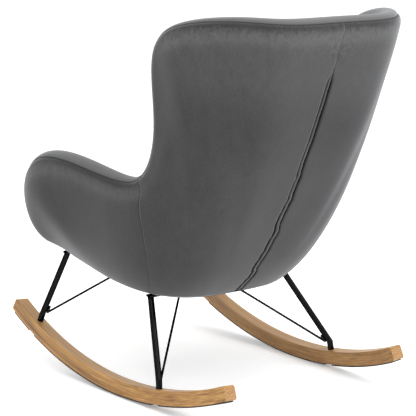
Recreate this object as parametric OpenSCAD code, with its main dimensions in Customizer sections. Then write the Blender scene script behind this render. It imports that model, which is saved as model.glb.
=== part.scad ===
// Rocking chair: an upholstered wing shell on four tube legs, which stand on two bent wood runners.
// The chair faces -Y and the sitter's left is +X. The origin is on the floor, under the centres of
// the runners' arcs, where the empty chair comes to rest.

/* [Runners] */
// Radius of the underside of the runners
runner_radius = 1044; // [1000:1:1100]
// Width of a runner
runner_w = 34; // [30:1:40]
// Height of a runner
runner_h = 36; // [30:1:40]
// Distance between the outer faces of the runners, under the chair
track_w = 618; // [580:1:650]
// Angle along the arc from the lowest point to the front tip
front_tip_angle = 28.2; // [27:0.1:30]
// Angle along the arc from the lowest point to the rear tip
rear_tip_angle = 22.7; // [22:0.1:27]
// Lean of the runners towards each other at the top
runner_lean = 5.2; // [0:0.1:6]
// Opening of the runners towards the front, each side
runner_toe = 1.8; // [0:0.1:3]
// Thickness of the rubber strips under the runners
rubber_t = 3; // [2:0.5:4]

/* [Legs] */
// Outer diameter of a leg
leg_d = 16; // [14:0.5:18]
// Wall thickness of a leg
leg_wall = 1.5; // [1:0.1:2]
// Length of the straight foot below the bend
foot_len = 22; // [18:1:28]
// Angle along the arc to the front feet
front_foot_angle = 22.3; // [21:0.1:23]
// Angle along the arc to the rear feet
rear_foot_angle = 7.8; // [7:0.1:9]
// Diameter of a brace
brace_d = 6; // [5:0.5:8]

/* [Seat] */
// Height of the seat's underside above the floor, over the runners' lowest point
base_height = 257; // [250:1:265]
// Backward slope of the seat's underside
base_tilt = 8.1; // [7.5:0.1:8.5]
// Height of the seat above its underside
seat_rise = 138; // [130:1:140]
// Thickness of the seat board
board_t = 12; // [10:0.5:15]

/* [Shell] */
// Width across the outside of the arms
shell_w = 706; // [690:1:720]
// Height of the top seam of the back above the floor
shell_h = 926; // [915:1:935]
// Thickness of the padded edge
edge_t = 50; // [46:1:54]
// Thickness of the padding at the level of the seat
pad_t = 72; // [66:1:78]
// Thickness of the velvet cover
cover_t = 2; // [1:0.5:3]
// Thickness of the stiff inner shell
panel_t = 8; // [6:0.5:9]

/* [Hidden] */
$fn = 48;

// ---------- small vector functions ----------

function unit(v) = v / norm(v);
function mix(a, b, t) = a + (b - a) * t;
function smooth(t) = let (c = max(0, min(1, t))) c * c * (3 - 2 * c);
function steps(n) = [for (i = [0 : n]) i / n];

// ---------- runners ----------

// the inner bottom edge of the leaning runner touches the floor through its rubber
runner_lift = runner_w / 2 * sin(runner_lean) + rubber_t * cos(runner_lean);
runner_mid = track_w / 2 - runner_w / 2;

// place children, drawn about the runner's own middle plane, on the left (side 1) or right (side -1)
module on_runner(side) {
    mirror([side < 0 ? 1 : 0, 0, 0])
        translate([runner_mid, 0, runner_lift])
            rotate([0, -runner_lean, runner_toe])
                children();
}

// the same place as a function: height h above the underside, at angle a along the arc
function on_arc(side, h, a, across = 0) =
    let (
        r = runner_radius - h,
        y0 = r * sin(a),
        z0 = runner_radius - r * cos(a),
        x1 = across * cos(runner_lean) - z0 * sin(runner_lean),
        z1 = across * sin(runner_lean) + z0 * cos(runner_lean),
        x2 = x1 * cos(runner_toe) - y0 * sin(runner_toe),
        y2 = x1 * sin(runner_toe) + y0 * cos(runner_toe)
    )
    [side * (runner_mid + x2), y2, runner_lift + z1];

// turn children so that +Z points from the underside to the arc's centre at angle a
module at_arc(a) {
    translate([0, 0, runner_radius])
        rotate([a, 0, 0])
            translate([0, 0, -runner_radius])
                children();
}

// a ring segment about the arc's centre, w wide, between heights h0 and h1, angles a0 to a1
module arc_bar(w, h0, h1, a0, a1) {
    translate([0, 0, runner_radius])
        rotate([0, -90, 0])
            rotate([0, 0, 180 - a1])
                rotate_extrude(angle = a1 - a0, $fn = 360)
                    translate([runner_radius - h1, -w / 2])
                        square([h1 - h0, w]);
}

bolt_d = 8;
bolt_head_d = 13;
bolt_head_h = 8;
washer_t = 1.5;
counterbore_d = 17;
counterbore_depth = 13;
insert_len = 24;
foot_angles = [-front_foot_angle, rear_foot_angle];

end_round = 9;
// the rounds meet the faces at a slight angle, so that every edge is distinct
round_inset = 0.96;

// what is cut away from the four corners of a tip
module tip_corners(a, outward) {
    reach = 3;
    at_arc(a)
        rotate([90, 0, 90])
            linear_extrude(runner_w + 2, center = true)
                for (top = [0, 1])
                    translate([0, top * runner_h])
                        mirror([0, top, 0])
                            difference() {
                                translate([outward > 0 ? -end_round : -reach, -reach])
                                    square(end_round + reach);
                                translate([-outward, 1] * end_round * round_inset)
                                    circle(end_round);
                            }
}

module runner() {
    difference() {
        arc_bar(runner_w, 0, runner_h, -front_tip_angle, rear_tip_angle);
        tip_corners(-front_tip_angle, -1);
        tip_corners(rear_tip_angle, 1);
        for (a = foot_angles)
            at_arc(a) {
                translate([0, 0, -1])
                    cylinder(d = bolt_d + 0.5, h = runner_h + 2);
                translate([0, 0, -1])
                    cylinder(d = counterbore_d, h = counterbore_depth + 1);
            }
    }
}

module runner_left() { color("burlywood") on_runner(1) runner(); }
module runner_right() { color("burlywood") on_runner(-1) runner(); }

rubber_w = runner_w - 6;
bolt_gap = 0.75;
tip_gap = 0.8;
rubber_spans = [
    [-front_tip_angle + tip_gap, -front_foot_angle - bolt_gap],
    [-front_foot_angle + bolt_gap, rear_foot_angle - bolt_gap],
    [rear_foot_angle + bolt_gap, rear_tip_angle - tip_gap]
];

module rubber_strips() {
    for (s = rubber_spans)
        arc_bar(runner_w, -rubber_t, 0, s[0], s[1]);
}

module rubber_strips_left() { color("black") on_runner(1) rubber_strips(); }
module rubber_strips_right() { color("black") on_runner(-1) rubber_strips(); }

// children once at each of the four feet, +Z along the foot
module at_feet() {
    for (side = [1, -1])
        for (a = foot_angles)
            on_runner(side) at_arc(a) children();
}

bolt_seat = counterbore_depth - washer_t;

module runner_bolts() {
    color("dimgray")
        at_feet()
            difference() {
                union() {
                    translate([0, 0, bolt_seat - bolt_head_h])
                        cylinder(d = bolt_head_d, h = bolt_head_h);
                    translate([0, 0, bolt_seat])
                        cylinder(d = bolt_d - 0.2, h = runner_h - bolt_seat + insert_len - 6);
                }
                translate([0, 0, bolt_seat - bolt_head_h - 1])
                    cylinder(d = 6.9, h = 6, $fn = 6);
            }
}

module runner_washers() {
    color("silver")
        at_feet()
            translate([0, 0, counterbore_depth - washer_t])
                difference() {
                    cylinder(d = 16, h = washer_t);
                    translate([0, 0, -1]) cylinder(d = bolt_d + 0.4, h = washer_t + 2);
                }
}

module foot_inserts() {
    color("silver")
        at_feet()
            translate([0, 0, runner_h])
                difference() {
                    cylinder(d = leg_d - 2 * leg_wall - 0.2, h = insert_len - 4);
                    translate([0, 0, -1]) cylinder(d = bolt_d, h = insert_len);
                }
}

// ---------- legs and braces ----------

base_slope = tan(base_tilt);
function base_z(y) = base_height - base_slope * y;
function above_base(p) = (p.z - base_z(p.y)) * cos(base_tilt);

// where the legs meet the bars: half width and distance from the origin
rear_corner = [219, 16];
front_corner = [231, -341];
bar_t = 5;
bar_w = 22;
bar_inset = 30;
bar_drop = 2;

function leg_top(side, corner) = [side * corner.x, corner.y, base_z(corner.y) - bar_drop - bar_t];

// round bar or tube core from a to b
module rod(a, b, d) {
    v = b - a;
    translate(a)
        rotate([0, acos(v.z / norm(v)), atan2(v.y, v.x)])
            cylinder(d = d, h = norm(v));
}

// a bend is a ball a little thicker than the tube
bend_k = 1.05;

// centre line of a leg: straight foot, bend, slanting main length
module leg_core(side, a, corner, d, over) {
    foot = on_arc(side, runner_h - over, a);
    bend = on_arc(side, runner_h + foot_len, a);
    top = leg_top(side, corner);
    rod(foot, bend, d);
    translate(bend) sphere(d = d * bend_k);
    rod(bend, top + unit(top - bend) * over, d);
}

module leg(side, a, corner) {
    difference() {
        leg_core(side, a, corner, leg_d, 0);
        leg_core(side, a, corner, leg_d - 2 * leg_wall, 1);
        // the top is cut level with the underside of the bar
        translate([0, 0, base_height - bar_drop - bar_t])
            rotate([-base_tilt, 0, 0])
                translate([-runner_radius / 2, -runner_radius / 2, 0])
                    cube([runner_radius, runner_radius, 2 * leg_d]);
    }
}

module leg_front_left() { color("black") leg(1, -front_foot_angle, front_corner); }
module leg_front_right() { color("black") leg(-1, -front_foot_angle, front_corner); }
module leg_rear_left() { color("black") leg(1, rear_foot_angle, rear_corner); }
module leg_rear_right() { color("black") leg(-1, rear_foot_angle, rear_corner); }

// a brace is welded to the inside of a leg just above its bend and runs to a cross bar
brace_end_x = 44;
brace_ends = [-238, -78];
brace_start = 8;
weld_len = 16;

module brace(side, a, corner, end_y) {
    bend = on_arc(side, runner_h + foot_len, a);
    top = leg_top(side, corner);
    along = unit(top - bend);
    end = [side * brace_end_x, end_y, base_z(end_y) - bar_drop - bar_t - brace_d / 2];
    inward = unit(cross(cross(along, end - bend), along));
    start = bend + along * brace_start + inward * (leg_d + brace_d) / 2;
    rod(start, start + along * weld_len, brace_d);
    translate(start) sphere(d = brace_d * bend_k);
    translate(start + along * weld_len) sphere(d = brace_d * bend_k);
    rod(start, end, brace_d);
    translate(end) sphere(d = brace_d * bend_k);
}

module brace_front_left() { color("black") brace(1, -front_foot_angle, front_corner, brace_ends[0]); }
module brace_front_right() { color("black") brace(-1, -front_foot_angle, front_corner, brace_ends[0]); }
module brace_rear_left() { color("black") brace(1, rear_foot_angle, rear_corner, brace_ends[1]); }
module brace_rear_right() { color("black") brace(-1, rear_foot_angle, rear_corner, brace_ends[1]); }

// ---------- bars under the seat ----------

// children in the plane of the seat's underside, +Z out of it into the seat
module on_base() {
    translate([0, 0, base_height])
        rotate([-base_tilt, 0, 0])
            children();
}
function in_plane(y) = y / cos(base_tilt);

// flat bar of width w between two points of the plane
module flat_bar(a, b, w = bar_w) {
    v = b - a;
    on_base()
        translate([a.x, in_plane(a.y), -bar_drop - bar_t])
            rotate([0, 0, atan2(in_plane(b.y) - in_plane(a.y), v.x)])
                translate([-w / 2, -w / 2, 0])
                    cube([norm([v.x, in_plane(b.y) - in_plane(a.y)]) + w, w, bar_t]);
}

// the bars along the sides lie further in than the legs, and carry the seat bolts
function side_line(t) = mix(front_corner, rear_corner, t) - [bar_inset, 0];
bolt_places = [for (t = [0.16, 0.84]) side_line(t)];
seat_bolt_d = 6;

module at_seat_bolts() {
    for (side = [1, -1])
        for (p = bolt_places)
            on_base() translate([side * p.x, in_plane(p.y), 0]) children();
}

module side_bar(side) {
    clear = ((bar_w + leg_d) / 2 + 1) / (rear_corner.y - front_corner.y);
    ends = [side_line(clear), side_line(1 - clear)];
    difference() {
        flat_bar([side * ends[0].x, ends[0].y], [side * ends[1].x, ends[1].y]);
        at_seat_bolts()
            translate([0, 0, -20]) cylinder(d = seat_bolt_d + 0.6, h = 40);
    }
}

// a bar across from leg to leg, as wide as the tops of the legs
module leg_bar(corner) {
    flat_bar([-corner.x, corner.y], [corner.x, corner.y], leg_d);
}

// a bar across between the side bars
module inner_bar(y) {
    x = side_line((y - front_corner.y) / (rear_corner.y - front_corner.y)).x - bar_w - 1;
    flat_bar([-x, y], [x, y]);
}

module side_bar_left() { color("black") side_bar(1); }
module side_bar_right() { color("black") side_bar(-1); }
module cross_bar_front() { color("black") leg_bar(front_corner); }
module cross_bar_rear() { color("black") leg_bar(rear_corner); }
module brace_bar_front() { color("black") inner_bar(brace_ends[0]); }
module brace_bar_rear() { color("black") inner_bar(brace_ends[1]); }

dust_t = 1;
board_z = dust_t + 0.5;
tee_barrel = board_t - 1;

module seat_bolts() {
    color("dimgray")
        at_seat_bolts() {
            translate([0, 0, -bar_drop - bar_t - 1.2 - 4])
                cylinder(d = 11, h = 4);
            translate([0, 0, -bar_drop - bar_t - 1.2])
                cylinder(d = seat_bolt_d - 0.2, h = bar_drop + bar_t + 1.2 + board_z + board_t + 1);
        }
}

module seat_washers() {
    color("silver")
        at_seat_bolts()
            translate([0, 0, -bar_drop - bar_t - 1.2])
                difference() {
                    cylinder(d = 14, h = 1.2);
                    translate([0, 0, -1]) cylinder(d = seat_bolt_d + 0.4, h = 4);
                }
}

module tee_nuts() {
    color("silver")
        at_seat_bolts()
            translate([0, 0, board_z + board_t])
                difference() {
                    union() {
                        cylinder(d = 19, h = 1.4);
                        translate([0, 0, -tee_barrel]) cylinder(d = 8, h = tee_barrel);
                    }
                    translate([0, 0, -board_t - 1]) cylinder(d = seat_bolt_d, h = board_t + 4);
                }
}

board_front = -322;
board_rear = 62;
board_half_w = 226;
board_front_r = 60;
board_rear_r = 120;

// the seat board's outline grown by g, with true arcs in the corners
module seat_outline(g) {
    half_w = board_half_w + g;
    front_r = board_front_r + g;
    rear_r = board_rear_r + g;
    front_arc_y = board_front + board_front_r;
    rear_arc_y = board_rear - board_rear_r;
    translate([-half_w, front_arc_y]) square([2 * half_w, rear_arc_y - front_arc_y]);
    translate([-half_w + front_r, board_front - g]) square([2 * (half_w - front_r), front_r + 1]);
    translate([-half_w + rear_r, rear_arc_y - 1]) square([2 * (half_w - rear_r), rear_r + 1]);
    for (side = [1, -1]) {
        translate([side * (half_w - front_r), front_arc_y]) circle(front_r);
        translate([side * (half_w - rear_r), rear_arc_y]) circle(rear_r);
    }
}

module seat_board() {
    color("tan")
        difference() {
            on_base()
                translate([0, 0, board_z])
                    linear_extrude(board_t)
                        seat_outline(0);
            at_seat_bolts()
                translate([0, 0, -10]) cylinder(d = 8.2, h = 60);
        }
}

module dust_cover() {
    color("dimgray")
        difference() {
            on_base()
                linear_extrude(dust_t)
                    seat_outline(2);
            at_seat_bolts()
                translate([0, 0, -10]) cylinder(d = 12, h = 60);
        }
}

// ---------- the shell's surface ----------
// Ribs run from the edge of the seat's underside up to the seam at the rim. Each station gives
// the control points of the rim seam [x, y, z] and of the underside's edge [x, y], and how the rib
// leaves that edge and reaches the seam: [slide along the edge, pull out of it], as a length and as
// a share of the rib's reach. They run from the middle of the back (first) over the wing and the
// arm to the front corner (last).

stations = [
    [[0, 468, 926], [0, 89], [0, 0.20], [0, 0.37]],
    [[100, 475, 925], [57, 88], [0, 0.23], [30, 0.35]],
    [[180, 465, 927], [89, 85], [0, 0.27], [45, 0.33]],
    [[240, 415, 935], [110, 83], [-5, 0.30], [35, 0.31]],
    [[287, 340, 935], [129, 77], [-10, 0.33], [0, 0.29]],
    [[316, 258, 925], [148, 71], [-20, 0.34], [-40, 0.25]],
    [[325, 192, 901], [170, 59], [-35, 0.33], [-40, 0.20]],
    [[314, 162, 841], [192, 42], [-35, 0.32], [-10, 0.19]],
    [[304, 160, 757], [212, 19], [-35, 0.30], [20, 0.19]],
    [[300, 160, 667], [227, -10], [-25, 0.28], [30, 0.16]],
    [[303, 137, 581], [236, -43], [-20, 0.28], [20, 0.14]],
    [[311, 80, 530], [242, -79], [-15, 0.28], [5, 0.16]],
    [[322, -13, 539], [245, -117], [-20, 0.30], [-15, 0.19]],
    [[337, -117, 562], [245, -154], [-30, 0.31], [-30, 0.23]],
    [[348, -222, 575], [243, -191], [-45, 0.31], [-35, 0.27]],
    [[352, -310, 562], [240, -228], [-55, 0.32], [-35, 0.31]],
    [[348, -365, 508], [238, -266], [-65, 0.32], [-20, 0.35]],
    [[335, -380, 432], [236, -307], [-50, 0.33], [-20, 0.37]],
    [[312, -372, 367], [235, -318], [-10, 0.31], [-15, 0.36]],
    [[277, -354, 331], [233, -328], [15, 0.28], [-5, 0.33]],
    [[239, -332, 313], [230, -335], [30, 0.25], [10, 0.31]]
];
last = len(stations) - 1;
nominal_w = 706;
nominal_h = 926;
rim_k = [shell_w / nominal_w, 1, shell_h / nominal_h];

// a station in parts: rim, edge, lower handle, upper handle; side is -1 for the mirrored half
function times(p, k) = [for (i = [0 : len(p) - 1]) p[i] * k[i]];
function sided(s, side) = [
    times(s[0], [side * rim_k.x, rim_k.y, rim_k.z]),
    times(s[1], [side * rim_k.x, 1]),
    times(s[2], [side, 1]),
    times(s[3], [side, 1])
];
function beyond(i) = stations[last] * (1 + i - last) - stations[last - 1] * (i - last);
function station(i) = sided(abs(i) <= last ? stations[abs(i)] : beyond(abs(i)), i < 0 ? -1 : 1);

// uniform cubic B-spline through the stations' control points
function row(u) =
    let (i = floor(u), s = u - i, q = 1 - s)
    (q * q * q * station(i - 1)
        + (3 * s * s * s - 6 * s * s + 4) * station(i)
        + (3 * q * q * q - 6 * q * q + 4) * station(i + 1)
        + s * s * s * station(i + 2)) / 6;
function edge_of(r) = [r[1].x, r[1].y, base_z(r[1].y)];

// a rib is a cubic Bezier curve; its ends lie in the surface's tangent planes
lean_back = 0.384;
up = unit([0, base_slope, 1]);

// how steeply a rib leaves the underside: steeper at the back than on the sides
function base_rise(u) = 44 - 3 * smooth(abs(u) / 8);

// outward direction of the surface at a point of the rim
function rim_out(R) =
    let (back = R.y + 80 - lean_back * (R.z - 300))
    [R.x / pow(310, 2), back / pow(420, 2), -0.36 * max(back, 0) / pow(420, 2)];

// a rib's four control points, then the rim's direction and the surface's rise at the rim
function rib(u) =
    let (
        r = row(u), fore = row(u + 0.05), aft = row(u - 0.05),
        R = r[0], B = edge_of(r),
        along_rim = unit(fore[0] - aft[0]),
        along_edge = unit(edge_of(fore) - edge_of(aft)),
        a = base_rise(u),
        from_edge = cos(a) * unit(cross(up, along_edge)) + sin(a) * up,
        rise = unit(cross(along_rim, rim_out(R))),
        reach = norm(R - B)
    )
    [
        B,
        B + r[2][1] * reach * from_edge + r[2][0] * along_edge,
        R - r[3][1] * reach * rise + r[3][0] * along_rim,
        R,
        along_rim,
        rise
    ];

function rib_point(r, v) =
    let (q = 1 - v)
    q * q * q * r[0] + 3 * q * q * v * r[1] + 3 * q * v * v * r[2] + v * v * v * r[3];
function rib_slope(r, v) =
    let (q = 1 - v)
    q * q * (r[1] - r[0]) + 2 * q * v * (r[2] - r[1]) + v * v * (r[3] - r[2]);

// a rib with its two near neighbours, which give the direction across it
function strip(u) = [rib(u), rib(u - 0.1), rib(u + 0.1)];
function inward(s, v) =
    v > 0.999 ? cross(s[0][4], s[0][5])
        : unit(cross(rib_point(s[2], v) - rib_point(s[1], v), rib_slope(s[0], v)));

// a point under the outer skin of a rib, d deep
function under_skin(s, v, d) = rib_point(s[0], v) + d * inward(s, v);

// the place along a rib where it passes the level of the seat; the short front ribs stop earlier
function find_level(r, lo, hi, n) =
    let (m = (lo + hi) / 2)
    n == 0 ? m
        : above_base(rib_point(r, m)) < seat_rise ? find_level(r, m, hi, n - 1)
            : find_level(r, lo, m, n - 1);
function seat_level(s) = min(0.62, find_level(s[0], 0, 1, 9));

// the padded edge and the wall thin out towards the front corners
corner_t = 16;
function edge_at(u) = mix(edge_t, corner_t, smooth((abs(u) - 15.5) / 4));
function pad_at(u) = mix(pad_t, corner_t, smooth((abs(u) - 15) / 4));

// thickness of the wall, from the padded edge down to the level of the seat
function wall_t(u, v, v_seat) = mix(edge_at(u), pad_at(u), pow((1 - v) / (1 - v_seat), 1.3));

// ---------- solids made of two matching grids of points ----------

module slab(face_a, face_b) {
    rows = len(face_a);
    cols = len(face_a[0]);
    total = rows * cols;
    function at(i, j) = i * cols + j;
    points = concat([for (r = face_a) each r], [for (r = face_b) each r]);
    grid = [for (i = [0 : rows - 2]) for (j = [0 : cols - 2])
        each [
            [at(i, j), at(i + 1, j), at(i + 1, j + 1)],
            [at(i, j), at(i + 1, j + 1), at(i, j + 1)]
        ]];
    back = [for (f = grid) [f[2] + total, f[1] + total, f[0] + total]];
    border = concat(
        [for (j = [0 : cols - 1]) at(0, j)],
        [for (i = [1 : rows - 1]) at(i, cols - 1)],
        [for (j = [cols - 2 : -1 : 0]) at(rows - 1, j)],
        [for (i = [rows - 2 : -1 : 1]) at(i, 0)]
    );
    n = len(border);
    sides = [for (k = [0 : n - 1])
        let (a = border[k], b = border[(k + 1) % n])
        each [[a, b, b + total], [a, b + total, a + total]]];
    polyhedron(points, concat(grid, back, sides), convexity = 8);
}

// the outer side of the shell between two lines across the ribs, d0 to d1 deep
module outer_layer(from, to, v0, v1, nu, nv, d0, d1) {
    function layer(d) = [for (s = steps(nu)) [for (k = steps(nv))
        let (v = mix(v0, v1, k), u = mix(from(v), to(v), s))
        under_skin(strip(u), v, d)]];
    slab(layer(d0), layer(d1));
}

// the padded edge and the inner side, from over the seam down to the seat; d is the depth under
// the inner skin, and a deeper face follows the stiff shell
module inner_layer(from, to, nu, nv, d0, d1, follow_panel) {
    roll_steps = 5;
    function edge_arc(r, edge_r, d) = [for (k = steps(roll_steps))
        let (a = 180 * k, n = cross(r[4], r[5]))
        r[3] + edge_r * n + max(edge_r - d, 0.3 * edge_r) * (sin(a) * r[5] - cos(a) * n)];
    function inner_side(u, s, v_seat, d) = [for (k = [1 : nv])
        let (v = mix(1, v_seat, k / nv))
        under_skin(s, v, wall_t(u, v, v_seat) - d)];
    function panel_side(s, v_seat) = [for (k = [1 : nv])
        under_skin(s, mix(1, v_seat, k / nv), foam_start)];
    function face(d, panel) = [
        for (k = steps(nu))
            let (u = mix(from, to, k), s = strip(u), v_seat = seat_level(s))
                concat(edge_arc(s[0], edge_at(u) / 2, d),
                       panel ? panel_side(s, v_seat) : inner_side(u, s, v_seat, d))];
    slab(face(d1, follow_panel), face(d0, false));
}

gap = 0.5;
closure_t = 1.5;
panel_start = cover_t + closure_t + 2 * gap;
foam_start = panel_start + panel_t + gap;
tube_r = 5;

// lines that bound the panels, as the rib number at height v
end_u = 18.5;
skin_end_u = 19.2;
tube_end_u = 15.4;
seam_rim_u = 10.65;
seam_base_u = 8.3;
middle_gap = 0.03;
function side_seam(v) = mix(seam_base_u, seam_rim_u, smooth((v - 0.05) / 0.8));
left_end = function (v) end_u;
right_end = function (v) -end_u;
left_tip = function (v) skin_end_u;
right_tip = function (v) -skin_end_u;
left_seam = function (v) side_seam(v) + 0.02;
right_seam = function (v) -side_seam(v) - 0.02;
left_inside = function (v) side_seam(v) - 0.02;
right_inside = function (v) -side_seam(v) + 0.02;
left_middle = function (v) middle_gap;
right_middle = function (v) -middle_gap;
left_strip = function (v) 0.16;
right_strip = function (v) -0.16;

velvet = [0.33, 0.33, 0.34];

module outer_cover_back_left() {
    color(velvet) outer_layer(left_middle, left_inside, 0, 1, 16, 13, 0, cover_t);
}
module outer_cover_back_right() {
    color(velvet) outer_layer(right_inside, right_middle, 0, 1, 16, 13, 0, cover_t);
}
module outer_cover_arm_left() {
    color(velvet) outer_layer(left_seam, left_tip, 0, 1, 16, 9, 0, cover_t);
}
module outer_cover_arm_right() {
    color(velvet) outer_layer(right_tip, right_seam, 0, 1, 16, 9, 0, cover_t);
}

module back_closure() {
    color("dimgray")
        outer_layer(right_strip, left_strip, 0.02, 0.90, 1, 13, cover_t + gap, cover_t + gap + closure_t);
}

panel_top = 0.97;
panel_bottom = 0.03;
module panel(from, to, nu, nv) {
    color("tan") outer_layer(from, to, panel_bottom, panel_top, nu, nv, panel_start, panel_start + panel_t);
}
module back_panel() { panel(right_inside, left_inside, 26, 10); }
module arm_panel_left() { panel(left_seam, left_end, 12, 7); }
module arm_panel_right() { panel(right_end, right_seam, 12, 7); }

foam_seam_u = 10.5;
module foam(from, to, nu, nv) {
    color("khaki") inner_layer(from, to, nu, nv, cover_t + gap, edge_t / 2 - tube_r - gap, true);
}
module back_foam() { foam(-foam_seam_u, foam_seam_u, 28, 8); }
module arm_foam_left() { foam(foam_seam_u + 0.02, end_u, 14, 6); }
module arm_foam_right() { foam(-end_u, -foam_seam_u - 0.02, 14, 6); }

module inner_cover(from, to, nu, nv) {
    color(velvet) inner_layer(from, to, nu, nv, 0, cover_t, false);
}
module inner_cover_back() { inner_cover(-foam_seam_u, foam_seam_u, 28, 8); }
module inner_cover_arm_left() { inner_cover(foam_seam_u + 0.02, end_u, 14, 6); }
module inner_cover_arm_right() { inner_cover(-end_u, -foam_seam_u - 0.02, 14, 6); }

// steel tube inside the padded edge, from one front corner round to the other
module rim_tube() {
    sides = 8;
    rings = 64;
    loops = [for (s = steps(rings))
        let (r = rib(mix(-tube_end_u, tube_end_u, s)), n = cross(r[4], r[5]))
        [for (k = [0 : sides - 1])
            let (a = 360 * k / sides)
            r[3] + edge_t / 2 * n + tube_r * (cos(a) * r[5] + sin(a) * n)]];
    skin = [for (i = [0 : rings - 1]) for (k = [0 : sides - 1])
        let (k2 = (k + 1) % sides, a = i * sides, b = a + sides)
        each [[a + k, b + k2, b + k], [a + k, a + k2, b + k2]]];
    first_cap = [for (k = [sides - 1 : -1 : 0]) k];
    last_cap = [for (k = [0 : sides - 1]) rings * sides + k];
    color("dimgray")
        polyhedron([for (l = loops) each l], concat(skin, [first_cap, last_cap]), convexity = 8);
}

// ---------- seat pad ----------

pad_round = 24;
pad_gap = 3;
// the pad touches the inside of the shell at these ribs, and its nose stands out past the last of them
pad_ribs = [0, 2, 4, 6, 8, 10, 12, 14];
nose = [[256, -344], [120, -372]];
foot = [[150, 10, 44], [192, -286, 30]];

// a point of the pad's outline at the level of the seat, in the plane of the underside
function pad_point(u) =
    let (s = strip(u), v = seat_level(s), p = under_skin(s, v, pad_t + pad_gap + pad_round))
    [p.x, p.y];

// seat pad grown by g all round
module seat_block(g) {
    foot_z = board_z + board_t + 2;
    tops = concat([for (u = pad_ribs) pad_point(u)], nose);
    on_base()
        hull()
            for (side = [1, -1]) {
                for (p = foot)
                    translate([side * p.x, p.y, foot_z - g])
                        cylinder(r = p.z + g, h = 10, $fn = 32);
                for (p = tops)
                    translate([side * p.x, in_plane(p.y), seat_rise - pad_round - 6])
                        sphere(r = pad_round + g, $fn = 32);
            }
}

module seat_foam() { color("khaki") seat_block(0); }

module seat_cover() {
    color(velvet)
        difference() {
            seat_block(gap + cover_t);
            seat_block(gap);
            on_base()
                translate([-shell_w / 2, -shell_w, 0])
                    cube([shell_w, 2 * shell_w, board_z + board_t + 12]);
        }
}

// ---------- what is drawn ----------

runner_left();
runner_right();
rubber_strips_left();
rubber_strips_right();
runner_bolts();
runner_washers();
foot_inserts();
leg_front_left();
leg_front_right();
leg_rear_left();
leg_rear_right();
brace_front_left();
brace_front_right();
brace_rear_left();
brace_rear_right();
side_bar_left();
side_bar_right();
cross_bar_front();
cross_bar_rear();
brace_bar_front();
brace_bar_rear();
seat_bolts();
seat_washers();
tee_nuts();
seat_board();
dust_cover();
rim_tube();
back_panel();
arm_panel_left();
arm_panel_right();
back_foam();
arm_foam_left();
arm_foam_right();
seat_foam();
outer_cover_back_left();
outer_cover_back_right();
outer_cover_arm_left();
outer_cover_arm_right();
back_closure();
inner_cover_back();
inner_cover_arm_left();
inner_cover_arm_right();
seat_cover();
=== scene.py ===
"""Looks of an upholstered rocking chair on bent wooden runners, built over its CAD frame.

Lengths in the shape functions are millimetres; meshes are made in metres. The chair faces -Y, +X is
the sitter's left, and the floor is z = 0.
"""
import math
from collections import namedtuple

import bmesh
import bpy
import numpy as np
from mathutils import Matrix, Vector


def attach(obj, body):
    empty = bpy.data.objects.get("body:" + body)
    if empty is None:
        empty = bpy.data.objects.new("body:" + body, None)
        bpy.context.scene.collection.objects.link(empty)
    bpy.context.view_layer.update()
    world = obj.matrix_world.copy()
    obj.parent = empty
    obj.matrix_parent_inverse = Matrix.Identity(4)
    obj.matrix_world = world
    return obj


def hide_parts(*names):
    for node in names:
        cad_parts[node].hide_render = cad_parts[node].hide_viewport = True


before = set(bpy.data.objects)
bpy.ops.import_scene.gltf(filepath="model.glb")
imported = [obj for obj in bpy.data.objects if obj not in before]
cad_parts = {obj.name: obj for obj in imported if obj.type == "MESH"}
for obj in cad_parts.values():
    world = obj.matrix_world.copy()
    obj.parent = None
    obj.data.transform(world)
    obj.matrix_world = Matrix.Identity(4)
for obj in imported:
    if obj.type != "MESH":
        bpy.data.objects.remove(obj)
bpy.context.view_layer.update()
ROOT = "root"
MM = 0.001

# ---------- the shell's surface: the same ribs as in the CAD model ----------

# One row a rib: rim x, y, z; edge of the underside x, y; lower handle's slide and pull; upper
# handle's slide and pull. They run from the middle of the back over wing and arm to the front.
# These values were not chosen by hand. A scratch program fitted them to outlines read off the photo,
# and its rounded result was pasted in here and in the CAD model.
STATIONS = np.array([
    [0, 468, 926, 0, 89, 0, 0.20, 0, 0.37],
    [100, 475, 925, 57, 88, 0, 0.23, 30, 0.35],
    [180, 465, 927, 89, 85, 0, 0.27, 45, 0.33],
    [240, 415, 935, 110, 83, -5, 0.30, 35, 0.31],
    [287, 340, 935, 129, 77, -10, 0.33, 0, 0.29],
    [316, 258, 925, 148, 71, -20, 0.34, -40, 0.25],
    [325, 192, 901, 170, 59, -35, 0.33, -40, 0.20],
    [314, 162, 841, 192, 42, -35, 0.32, -10, 0.19],
    [304, 160, 757, 212, 19, -35, 0.30, 20, 0.19],
    [300, 160, 667, 227, -10, -25, 0.28, 30, 0.16],
    [303, 137, 581, 236, -43, -20, 0.28, 20, 0.14],
    [311, 80, 530, 242, -79, -15, 0.28, 5, 0.16],
    [322, -13, 539, 245, -117, -20, 0.30, -15, 0.19],
    [337, -117, 562, 245, -154, -30, 0.31, -30, 0.23],
    [348, -222, 575, 243, -191, -45, 0.31, -35, 0.27],
    [352, -310, 562, 240, -228, -55, 0.32, -35, 0.31],
    [348, -365, 508, 238, -266, -65, 0.32, -20, 0.35],
    [335, -380, 432, 236, -307, -50, 0.33, -20, 0.37],
    [312, -372, 367, 235, -318, -10, 0.31, -15, 0.36],
    [277, -354, 331, 233, -328, 15, 0.28, -5, 0.33],
    [239, -332, 313, 230, -335, 30, 0.25, 10, 0.31],
], float)
LAST = len(STATIONS) - 1
MIRROR = np.array([-1, 1, 1, -1, 1, -1, 1, -1, 1.0])
BASE_SLOPE = math.tan(math.radians(8.1))
BASE_HEIGHT = 257
# degrees by which a rib rises from its edge at the middle of the back, and how much less further on
RIB_RISE = 44
RIB_RISE_LESS = 3
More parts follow.
